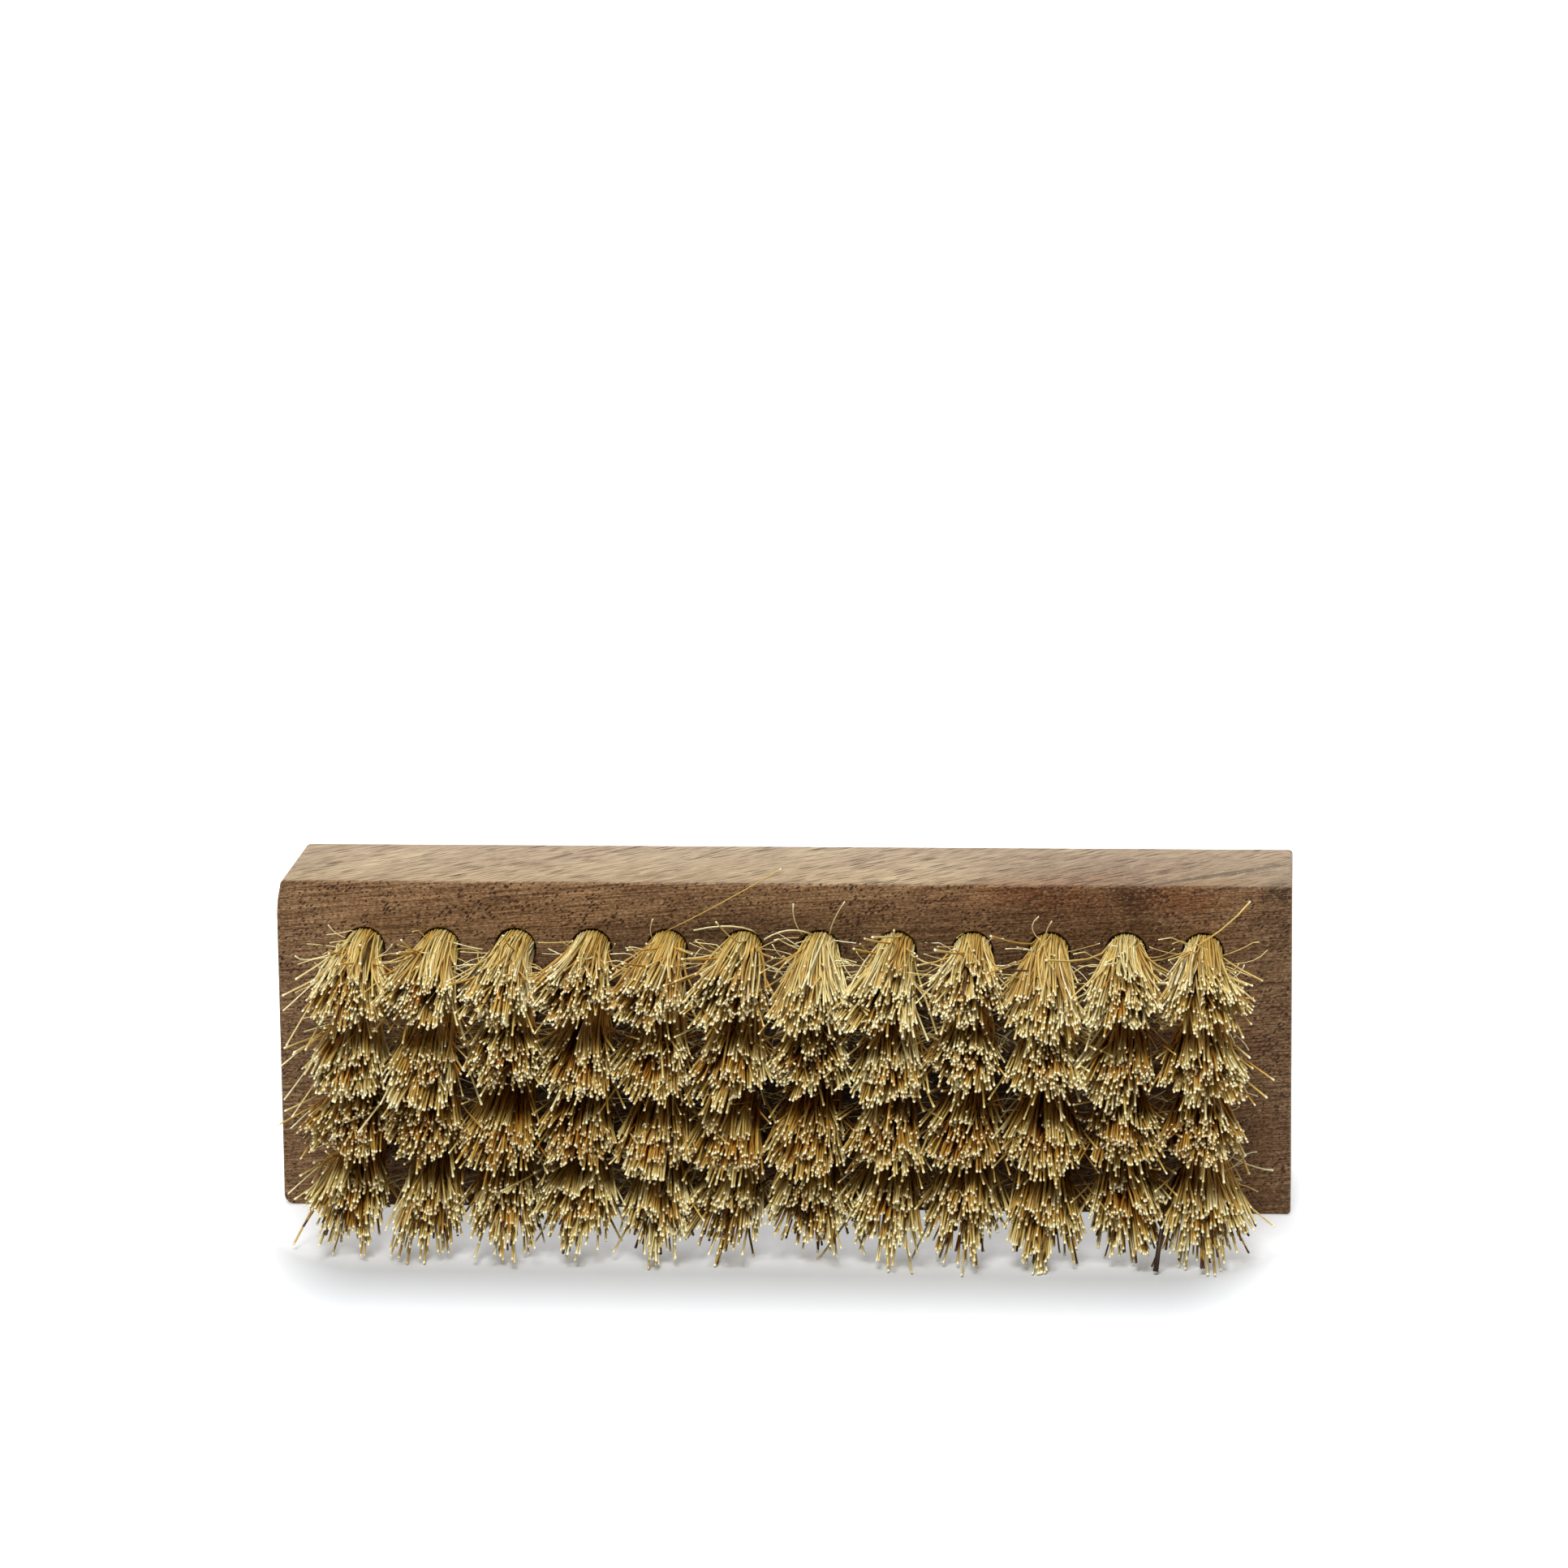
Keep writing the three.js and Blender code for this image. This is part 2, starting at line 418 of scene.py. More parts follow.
        # Painted shade inside the holes and on their rims
        hole_shade = node("Attribute", attribute_name="hole_shade")["Fac"]
        for share, over in ((specks_and_glints, self.specks_and_glints), (pores, self.pore), (hole_shade, self.hole_shade)):
            mix = {MIX_FACTOR: share, MIX_A: colour, MIX_B: linear(over)}
            colour = node("Mix", mix, data_type="RGBA")[MIX_RESULT]
        ridges = node("Math", {0: lines, 1: self.line_relief, 2: streaks}, operation="MULTIPLY_ADD")[0]
        height = node("Math", {0: ridges, 1: pores}, operation="SUBTRACT")[0]
        rough = node("MapRange", self.roughness.of(height))["Result"]
        optics = {"IOR": self.ior, "Specular IOR Level": self.shine}
        end_material(tree, colour, rough, height, self.relief, optics)
        return material

    def ground_with_shade(self, tree: Tree, place: Socket, depth: Socket) -> Socket:
        """Adds the wood's broad bands, its stains, painted shade under the tufts, and the darker bristle
        face, partly oil and partly painted shade.

        Args:
            tree: node tree that gets the nodes.
            place: Object coordinates.
            depth: how far back a place lies.

        Returns:
            The socket that carries the colour.
        """
        node = partial(add_node, tree)
        stops = list(zip(self.band_stops, (self.deep, self.ground, self.pale)))
        ground = node("ValToRGB", {"Fac": self.bands.pattern(tree, place)}, stops)["Color"]
        for stain_and_shade in self.stains_and_shade:
            ground = stain_and_shade.lay(tree, place, ground)
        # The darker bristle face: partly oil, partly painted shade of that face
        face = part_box("wooden_block")[0][1]
        oil_and_shade_ramp = Remap(face, face + self.oil_and_shade_depth, 1.0, 0.0)
        share = node("MapRange", oil_and_shade_ramp.of(depth))["Result"]
        mix = {MIX_FACTOR: share, MIX_A: ground, MIX_B: linear(self.oil_and_shade)}
        return node("Mix", mix, data_type="RGBA", blend_type="MULTIPLY")[MIX_RESULT]


@dataclass(frozen=True)
class PlantFibre:
    """Stiff, dry plant fibre, combed and cut: straw-coloured, with painted amber shade inside the tufts and
    pale ends that are partly a painted highlight.
    """

    tones: Stops = (
        (0.0, "#35200F"),
        (0.06, "#563617"),
        (0.1, "#BC9040"),
        (0.4, "#DBBD6C"),
        (0.7, "#EEE0A4"),
        (1.0, "#FCF5D2"),
    )
    # Painted shade: the colour that the fibres keep by their depth in the tuft, darker and more amber where
    # light would pass between many fibres
    ambers: Stops = ((0.0, WHITE), (0.25, "#E8DEBC"), (0.5, "#EAC480"), (0.75, "#DCA95F"), (1.0, "#C58B45"))
    # Pale cut end: partly the fibre's own pale cut, partly a painted highlight
    cut: str = "#FFF9D2"
    specks: Grain = Grain((0.35, 2.5, 0.35), roughness=0.5)
    mottle: Remap = Remap(0.3, 0.7, 0.86, 1.1)
    # Where along a fibre its pale cut end begins, partly a painted highlight, and which tones are clean
    # enough to show it
    end: Remap = Remap(0.991, 0.998)
    clean: Remap = Remap(0.06, 0.1)
    roughness: Remap = Remap(0.3, 0.7, 0.42, 0.6)
    relief: Pair = (0.25, 0.05)
    ior: float = 1.5
    shine: float = 0.3

    def material(self) -> Material:
        """Builds the fibre.

        Returns:
            The material, which reads each fibre's tone, its painted shade and the way along it.
        """
        material, tree = new_material("combed_plant_fibre")
        node = partial(add_node, tree)
        names = ("tone", "along", "painted_shade")
        tone, along, painted_shade = (node("Attribute", attribute_name=name)["Fac"] for name in names)
        specks = self.specks.pattern(tree, node("TexCoord")["Object"])
        shaft = node("ValToRGB", {"Fac": tone}, self.tones)["Color"]
        # Painted shade by depth in the tuft
        amber = node("ValToRGB", {"Fac": painted_shade}, self.ambers)["Color"]
        ambered = node("VectorMath", {0: shaft, 1: amber}, operation="MULTIPLY")["Vector"]
        mottle = node("MapRange", self.mottle.of(specks))["Result"]
        mottled = node("VectorMath", {0: ambered, "Scale": mottle}, operation="SCALE")["Vector"]
        # Pale cut ends, partly a painted highlight, kept off dark fibres and off painted shade
        pale = node("MapRange", self.end.of(along))["Result"]
        clean = node("MapRange", self.clean.of(tone))["Result"]
        unshaded = node("Math", {0: 1.0, 1: painted_shade}, operation="SUBTRACT")[0]
        for share in (clean, unshaded):
            pale = node("Math", {0: pale, 1: share}, operation="MULTIPLY")[0]
        mix = {MIX_FACTOR: pale, MIX_A: mottled, MIX_B: linear(self.cut)}
        colour = node("Mix", mix, data_type="RGBA")[MIX_RESULT]
        rough = node("MapRange", self.roughness.of(specks))["Result"]
        optics = {"IOR": self.ior, "Specular IOR Level": self.shine}
        end_material(tree, colour, rough, specks, self.relief, optics)
        return material


@dataclass(frozen=True)
class DrawnWire:
    """Flat steel wire, drawn and cropped: grey metal with fine lines along its length."""

    tones: Stops = ((0.3, "#8E8F90"), (0.7, "#B4B5B6"))
    # Lines from drawing are far finer. They are drawn as coarse as they need to show
    lines: Grain = Grain((3.0, 0.12, 0.12), roughness=0.5)
    roughness: Remap = Remap(0.3, 0.7, 0.5, 0.3)
    relief: Pair = (0.3, 0.02)

    def material(self) -> Material:
        """Builds the wire.

        Returns:
            The material, which reads Object coordinates.
        """
        material, tree = new_material("drawn_steel_wire")
        lines = self.lines.pattern(tree, add_node(tree, "TexCoord")["Object"])
        colour = add_node(tree, "ValToRGB", {"Fac": lines}, self.tones)["Color"]
        rough = add_node(tree, "MapRange", self.roughness.of(lines))["Result"]
        end_material(tree, colour, rough, lines, self.relief, {"Metallic": 1.0})
        return material


@dataclass
class Block:
    """The drilled wooden block, with one top corner worn down."""

    mouths: Sequence[Vector]
    low: Vector = field(default_factory=lambda: Vector(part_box("wooden_block")[0]))
    high: Vector = field(default_factory=lambda: Vector(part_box("wooden_block")[1]))
    left_radius: float = 1.3 * MM
    right_radius: float = 0.55 * MM
    worn_drop: float = 3.3 * MM
    worn_depth: float = 0.65 * MM
    worn_radius: float = 1.5 * MM
    corner_steps: int = 6
    edge_radius: float = 0.35 * MM
    edge_steps: int = 3
    hole_radius: float = 2.75 * MM
    hole_depth: float = 13 * MM
    hole_sides: int = 36
    rim: float = 0.15 * MM
    # Painted shade on the chamfered rims of the holes, less than inside them
    rim_shade: float = 0.6
    collar: float = 1.5 * MM
    smooth_angle: float = math.radians(35)

    def build(self) -> Shape:
        """Wears and rounds a box and sinks the holes into its front.

        Returns:
            The block's shape, with an attribute of painted shade that is 1 inside the holes and less on their
            rims.
        """
        bm = bmesh.new()
        size = self.high - self.low
        middle = (self.high + self.low) / 2
        bmesh.ops.create_cube(bm, size=1.0, matrix=Matrix.Translation(middle) @ Matrix.Diagonal((*size, 1.0)))
        self.wear_corner(bm)
        self.round_edges(bm)
        front = min(bm.faces, key=lambda f: f.calc_center_median().y)
        bmesh.ops.delete(bm, geom=[front], context="FACES_ONLY")
        edges = [e for e in bm.edges if e.is_boundary]
        rings = [self.mouth_ring(bm, mouth) for mouth in self.mouths]
        for ring in rings:
            edges += ring
        bmesh.ops.triangle_fill(bm, use_beauty=True, edges=edges, normal=(0, -1, 0))
        hole_shade = bm.verts.layers.float.new("hole_shade")
        for mouth, ring in zip(self.mouths, rings):
            self.sink(bm, hole_shade, mouth, ring)
        bmesh.ops.recalc_face_normals(bm, faces=bm.faces)
        return bm

    def wear_corner(self, bm: Shape) -> None:
        """Cuts a steep sliver off the top left corner.

        Args:
            bm: plain box to change.
        """
        cut = bmesh.ops.bisect_plane(
            bm,
            geom=[*bm.verts, *bm.edges, *bm.faces],
            plane_co=(self.low.x, 0, self.high.z - self.worn_drop),
            plane_no=(-self.worn_drop, 0, self.worn_depth),
            clear_outer=True,
        )["geom_cut"]
        bmesh.ops.edgeloop_fill(bm, edges=[g for g in cut if isinstance(g, bmesh.types.BMEdge)])

    def round_edges(self, bm: Shape) -> None:
        """Rounds the edges that run from front to back, and then the outlines of the front and the back.

        Args:
            bm: box to change.
        """
        middle = (self.high + self.low) / 2
        top = self.high.z - self.worn_drop / 2
        deep = [edge for edge in bm.edges if self.runs_deep(edge)]
        left = [edge for edge in deep if edge.verts[0].co.x < middle.x and edge.verts[0].co.z < top]
        worn = [edge for edge in left if edge.verts[0].co.z > middle.z]
        low_left = [edge for edge in left if edge not in worn]
        others = [edge for edge in deep if edge not in left]
        corners = ((worn, self.worn_radius), (low_left, self.left_radius), (others, self.right_radius))
        for edges, radius in corners:
            self.bevel(bm, edges, radius, self.corner_steps)
        outlines = [edge for edge in bm.edges if not self.runs_deep(edge)]
        self.bevel(bm, outlines, self.edge_radius, self.edge_steps)

    def runs_deep(self, edge: bmesh.types.BMEdge) -> bool:
        """Tells whether an edge runs from the front of the block to its back."""
        return abs(edge.verts[0].co.y - edge.verts[1].co.y) > (self.high.y - self.low.y) / 2

    def bevel(self, bm: Shape, edges: Edges, radius: float, steps: int) -> None:
        """Rounds some edges to a radius, in so many flats."""
        bmesh.ops.bevel(
            bm, geom=edges, offset=radius, segments=steps, profile=0.5, affect="EDGES", material=-1
        )

    def mouth_ring(self, bm: Shape, mouth: Vector) -> Edges:
        """Draws the outer edge of one hole's mouth.

        Args:
            bm: shape that gets the ring.
            mouth: middle of the hole on the front.

        Returns:
            The ring's edges.
        """
        turn = Matrix.Translation(mouth) @ Matrix.Rotation(math.pi / 2, 4, "X")
        radius = self.hole_radius + self.rim
        ring = bmesh.ops.create_circle(bm, segments=self.hole_sides, radius=radius, matrix=turn)
        return list(dict.fromkeys(edge for vert in ring["verts"] for edge in vert.link_edges))

    def sink(self, bm: Shape, hole_shade: bmesh.types.BMLayerItem, mouth: Vector, ring: Edges) -> None:
        """Extrudes one mouth into a chamfered blind hole.

        Args:
            bm: shape to change.
            hole_shade: layer of painted shade inside a hole and on its rim.
            mouth: middle of the hole on the front.
            ring: outer edge of the mouth.
        """
        inner = self.hole_radius / (self.hole_radius + self.rim)
        steps = ((inner, self.rim, self.rim_shade), (1.0, self.collar, 1.0), (1.0, self.hole_depth, 1.0))
        for shrink, depth, inside in steps:
            grown = bmesh.ops.extrude_edge_only(bm, edges=ring)["geom"]
            verts = [g for g in grown if isinstance(g, bmesh.types.BMVert)]
            ring = [g for g in grown if isinstance(g, bmesh.types.BMEdge)]
            bmesh.ops.scale(bm, vec=(shrink, 1, shrink), space=Matrix.Translation(-mouth), verts=verts)
            bmesh.ops.translate(bm, vec=(0, mouth.y + depth - verts[0].co.y, 0), verts=verts)
            for vert in verts:
                vert[hole_shade] = inside
        bmesh.ops.edgeloop_fill(bm, edges=ring)

    def dress(self, wood: Material) -> Piece:
        """Makes the finished block.

        Args:
            wood: material of the block.

        Returns:
            The block, which replaces its CAD node.
        """
        piece = finished_piece("drilled_block", self.build(), wood)
        piece.data.set_sharp_from_angle(angle=self.smooth_angle)
        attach(piece, BODY)
        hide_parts("wooden_block")
        return piece


@dataclass
class Strand:
    """One fibre: the places that it passes, its shares of the way, and its tones and painted shade there."""

    places: list[Vector]
    shares: list[float]
    tones: list[float]
    shade_depths: list[float]
    radius: float


@dataclass
class FibreBundle:
    """Draws many fibres of equally many places into one shape."""

    sides: int = 4
    tip_taper: float = 0.95
    tip_burr: float = 1.22
    strip_fill: float = 0.7

    def build(self, strands: Sequence[Strand]) -> Shape:
        """Sets a disc at the start of every fibre and extrudes all discs together along them.

        Args:
            strands: fibres to draw.

        Returns:
            Closed fibres with attributes of tone, of the way along and of painted shade, and an OFBake map of
            one strip for each fibre.
        """
        bm = bmesh.new()
        layers = bm.verts.layers.float
        names = ("tone", "along", "painted_shade")
        for name in names:
            layers.new(name)
        tone_layer, along_layer, painted_shade_layer = (layers[name] for name in names)
        number = bm.faces.layers.int.new("fibre")
        spots: dict[bmesh.types.BMVert, Pair] = {}
        caps = []
        for index in range(len(strands)):
            disc = bmesh.ops.create_circle(bm, cap_ends=True, segments=self.sides, radius=1.0)
            cap = disc["verts"][0].link_faces[0]
            cap[number] = index
            caps.append(cap)
        steps = len(strands[0].places)
        for step in range(steps):
            if step:
                caps = bmesh.ops.extrude_discrete_faces(bm, faces=caps)["faces"]
                caps.sort(key=lambda f: f[number])
            for cap, strand in zip(caps, strands):
                for corner, (vert, place) in enumerate(zip(cap.verts, self.ring(strand, step))):
                    vert.co = place
                    vert[tone_layer] = strand.tones[step]
                    vert[along_layer] = strand.shares[step]
                    vert[painted_shade_layer] = strand.shade_depths[step]
                    spots[vert] = self.map_spot(cap[number], len(strands), corner, step / (steps - 1))
        bmesh.ops.holes_fill(bm, edges=[e for e in bm.edges if e.is_boundary], sides=self.sides)
        bmesh.ops.recalc_face_normals(bm, faces=bm.faces)
        baked = bm.loops.layers.uv.new("OFBake")
        for face in bm.faces:
            for loop in face.loops:
                loop[baked].uv = spots[loop.vert]
        bm.faces.layers.int.remove(number)
        return bm

    def ring(self, strand: Strand, step: int) -> list[Vector]:
        """Works out the corners of a fibre's section.

        Args:
            strand: the fibre.
            step: number of the place along it.

        Returns:
            The corners, square to the fibre's run.
        """
        places = strand.places
        before, after = places[max(step - 1, 0)], places[min(step + 1, len(places) - 1)]
        run = (after - before).normalized()
        side = Vector((1, 0, 0))
        side = (side - run * side.dot(run)).normalized()
        up = run.cross(side)
        taper = 1 - (1 - self.tip_taper) * strand.shares[step]
        if strand.shares[step] == 1.0:
            taper *= self.tip_burr
        turns = [2 * math.pi * corner / self.sides for corner in range(self.sides)]
        return [places[step] + strand.radius * taper * (math.cos(a) * side + math.sin(a) * up) for a in turns]

    def map_spot(self, index: int, count: int, corner: int, share: float) -> Pair:
        """Gives a corner's spot on the fibre's strip of the map, which folds back half way round it."""
        across = 1 - abs(1 - 2 * corner / self.sides)
        return (index + (1 - self.strip_fill) / 2 + self.strip_fill * across) / count, share


@dataclass(frozen=True)
class Clump:
    """A few fibres that lie together: their place in the mouth, how their ends move and reach, their tone."""

    root: Vector
    shift: Vector
    extra: float
    tone: float


@dataclass(frozen=True)
class RowWear:
    """What the tufts of a row share: how they hang and splay, and the looks of their fibres.

    The stain is amber painted shade that fibres get besides their depth in the tuft, most between the rows,
    and the share of pale ends is that of fibres whose end is pale, partly a painted highlight. The lighter
    tone from painted light off the floor and the dark ends belong to the lower half of a tuft.
    """

    droop: float
    splay_right: float
    stain_and_shade: float
    pale_end_share: float
    mean_tone: float
    splay_down: float = 0.0
    painted_floor_light: float = 0.0
    dark_end_share: float = 0.0


@dataclass
class Tuft:
    """One tuft: fibres folded in half round the anchor in a hole, worn and splayed at their ends."""

    row: int
    column: int
    mouth: Vector
    anchor: Vector
    reach: float
    lean: float
    wear: RowWear
    splay_left: float
    splay_right: float
    bundle: FibreBundle = field(default_factory=FibreBundle)
    row_seed: int = 1000
    fibres: int = 340
    root_radius: float = 2.5 * MM
    spread_x: float = 5.2 * MM
    spread_z: float = 3.2 * MM
    aim_x: float = 0.4 * MM
    aim_z: float = 0.7 * MM
    clump_count: int = 26
    clump_shift: float = 0.4 * MM
    clump_extra: float = 1.7 * MM
    clump_tones: float = 0.17
    gather: float = 0.35
    # How far fibres reach past the CAD row, and how much shorter the upper ones and single ones are
    spare: float = 3.2 * MM
    slant: float = 2.5 * MM
    uneven: float = 3.2 * MM
    stray: float = 0.35 * MM
    bow: float = 0.3 * MM
    bends: Pair = (1.3, 2.1)
    loose_share: float = 0.16
    loose_uneven: float = 1.8
    loose_stray: float = 2.3 * MM
    floor: float = 0.25 * MM
    thinnest: float = 0.12 * MM
    thickest: float = 0.172 * MM
    tone_spread: float = 0.15
    clean_tones: Pair = (0.1, 1.0)
    dark_share: float = 0.008
    dark_tones: Pair = (0.0, 0.05)
    dark_end_tone: float = 0.02
    # Painted shade: how fast it grows towards the middle of the tuft, from which share of its radius, and how
    # much a dull end gets
    core: float = 1.5
    core_edge: float = 0.87
    dull_ends: Pair = (0.1, 0.6)
    outer_shares: tuple[float, ...] = (1.0, 0.97, 0.74, 0.48, 0.22, 0.0)
    # Painted shade along a fibre towards its root, and more at the mouth, where the hole shades it
    inner_shares: tuple[float, ...] = (0.25, 0.62, 1.0, 1.0)
    root_shades: tuple[float, ...] = (0.0, 0.0, 0.03, 0.06)
    mouth_shade: float = 0.14
    # Shares of the way to a cut end at the mouth and at the fold
    mouth_share: float = 0.25
    fold_share: float = 0.1
    fold_turns: tuple[float, ...] = (math.pi / 2, math.pi / 6, -math.pi / 6, -math.pi / 2)

    def build(self) -> Shape:
        """Lays the folded fibres and draws them."""
        return self.bundle.build(self.strands())

    def strands(self) -> list[Strand]:
        """Lays the fibres of the tuft.

        Returns:
            Fibres that each run from one cut end through the fold to the other.
        """
        rng = random.Random(self.row_seed * self.row + self.column)
        aim = Vector((self.lean + rng.gauss(0, self.aim_x), 0, -self.wear.droop + rng.gauss(0, self.aim_z)))
        clumps = [self.clump(rng, aim) for _ in range(self.clump_count)]
        shares = [self.mouth_share + (1 - self.mouth_share) * share for share in self.outer_shares]
        inside = [self.fold_share] * len(self.fold_turns)
        strands = []
        for root in self.roots():
            lower_root = Vector((root.x, 0, -root.z))
            upper_clump = self.nearest(root, clumps)
            lower_clump = self.nearest(lower_root, clumps)
            upper = self.leg(rng, root, upper_clump)
            lower = self.leg(rng, lower_root, lower_clump)
            fold = [self.fold_place(root, turn) for turn in self.fold_turns]
            tones = [self.tone(rng, upper_clump)] * (len(upper) + len(fold))
            # Painted light from the floor lifts the tone of the lower legs
            tones += [min(self.tone(rng, lower_clump) + self.wear.painted_floor_light, 1.0)] * len(lower)
            tones[-1] = tones[-2] = self.end_tone(rng, tones[-1])
            shade_depths = self.shade_depths(rng, root) + [1.0] * len(fold) + self.shade_depths(rng, lower_root)[::-1]
            strands.append(
                Strand(
                    places=upper + fold + lower[::-1],
                    shares=shares + inside + shares[::-1],
                    tones=tones,
                    shade_depths=shade_depths,
                    radius=rng.uniform(self.thinnest, self.thickest),
                )
            )
        return strands

    def nearest(self, root: Vector, clumps: Sequence[Clump]) -> Clump:
        """Finds the clump that a fibre joins."""
        return min(clumps, key=lambda c: (c.root - root).length)

    def tone(self, rng: random.Random, clump: Clump) -> float:
        """Picks a fibre's tone near that of its clump, now and then a dark one."""
        if rng.random() < self.dark_share:
            return rng.uniform(*self.dark_tones)
        darkest, palest = self.clean_tones
        return min(max(rng.gauss(clump.tone, self.tone_spread), darkest), palest)

    def end_tone(self, rng: random.Random, tone: float) -> float:
        """Picks the tone of a fibre's lower end, now and then a dark one."""
        return self.dark_end_tone if rng.random() < self.wear.dark_end_share else tone

    def shade_depths(self, rng: random.Random, place: Vector) -> list[float]:
        """Works out a fibre's painted shade by how deep in the tuft it lies, from its cut end to the mouth.

        Args:
            rng: the tuft's random numbers.
            place: place in the mouth, from its middle.

        Returns:
            For each place, from 0 in the open to 1 for full painted shade inside the tuft and between the
            rows, with more of it at the mouth. A dull cut end gets a random amount of it.
        """
        inner = self.core * max(self.core_edge - place.length / self.root_radius, 0) + self.wear.stain_and_shade
        end = 0.0 if rng.random() < self.wear.pale_end_share else rng.uniform(*self.dull_ends)
        shaft = [min(inner * share + root, 1.0) for share, root in zip(self.inner_shares, self.root_shades)]
        return [end] + shaft + [min(inner + self.mouth_shade, 1.0)]

    def clump(self, rng: random.Random, aim: Vector) -> Clump:
        """Picks a clump of fibres.

        Args:
            rng: the tuft's random numbers.
            aim: mean sideways move of the tuft's ends.

        Returns:
            The clump.
        """
        radius = self.root_radius * math.sqrt(rng.random())
        turn = rng.uniform(0, 2 * math.pi)
        shift = Vector((rng.gauss(0, self.clump_shift), 0, rng.gauss(0, self.clump_shift)))
        root = Vector((radius * math.cos(turn), 0, radius * math.sin(turn)))
        extra = rng.gauss(0, self.clump_extra)
        return Clump(root, aim + shift, extra, rng.gauss(self.wear.mean_tone, self.clump_tones))

    def roots(self) -> list[Vector]:
        """Spreads the fibres over the upper half of the hole's mouth.

        Returns:
            Places from the middle of the mouth, which mirror onto the lower half.
        """
        golden = math.pi * (3 - math.sqrt(5))
        places = []
        for index in range(self.fibres):
            radius = self.root_radius * math.sqrt((index + 0.5) / self.fibres)
            place = Vector((radius * math.cos(index * golden), 0, radius * math.sin(index * golden)))
            if place.z > 0:
                places.append(place)
        return places

    def leg(self, rng: random.Random, root: Vector, clump: Clump) -> list[Vector]:
        """Lays one half of a fibre outside the hole.

        Args:
            rng: the tuft's random numbers.
            root: place in the mouth, from its middle.
            clump: clump that the fibre joins.

        Returns:
            Places from the cut end to the mouth.
        """
        loose = rng.random() < self.loose_share
        stray = self.loose_stray if loose else self.stray
        uneven = self.uneven * (self.loose_uneven if loose else 1.0)
        out = root.lerp(clump.root, 0.0 if loose else self.gather) / self.root_radius
        wide = self.splay_right if out.x > 0 else self.splay_left
        flare_x = self.spread_x + wide * abs(out.x) * rng.random()
        flare_z = self.spread_z + (self.wear.splay_down * rng.random() ** 2 if out.z < 0 else 0.0)
        flare = Vector((out.x * flare_x, 0, out.z * flare_z))
        end = flare + clump.shift + Vector((rng.gauss(0, stray), 0, rng.gauss(0, stray)))
        short = abs(rng.gauss(0, uneven)) + self.slant * (1 + out.z) / 2
        length = self.reach + self.spare + clump.extra - short
        bow = Vector((rng.gauss(0, self.bow), 0, rng.gauss(0, self.bow)))
        bend = rng.uniform(*self.bends)
        places = []
        for share in self.outer_shares:
            sideways = root.lerp(end, share**bend) + bow * math.sin(math.pi * share)
            place = self.mouth + sideways + Vector((0, -length * share, 0))
            place.z = max(place.z, self.floor)
            places.append(place)
        return places

    def fold_place(self, root: Vector, turn: float) -> Vector:
        """Gives a place on the fold round the anchor, a half circle that is wider for outer fibres."""
        depth = self.anchor.y + root.z * math.cos(turn)
        return Vector((self.mouth.x + root.x, depth, self.mouth.z + root.z * math.sin(turn)))

    def dress(self, fibre: Material) -> Piece:
        """Makes the finished tuft.

        Args:
            fibre: material of the fibres.

        Returns:
            The tuft, which with its row's other tufts replaces the row's CAD node.
        """
        piece = finished_piece(f"tuft_{self.row}_{self.column:02d}", self.build(), fibre)
        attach(piece, BODY)
        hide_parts(f"bristle_row_{self.row}")
        return piece


@dataclass(frozen=True)
class Stray:
    """A long fibre out of its tuft: four points right, out and up from the mouth, and its radius, in mm."""

    row: int
    column: int
    points: tuple[Triple, Triple, Triple, Triple]
    radius: float = 0.09
    tone: float = 0.8


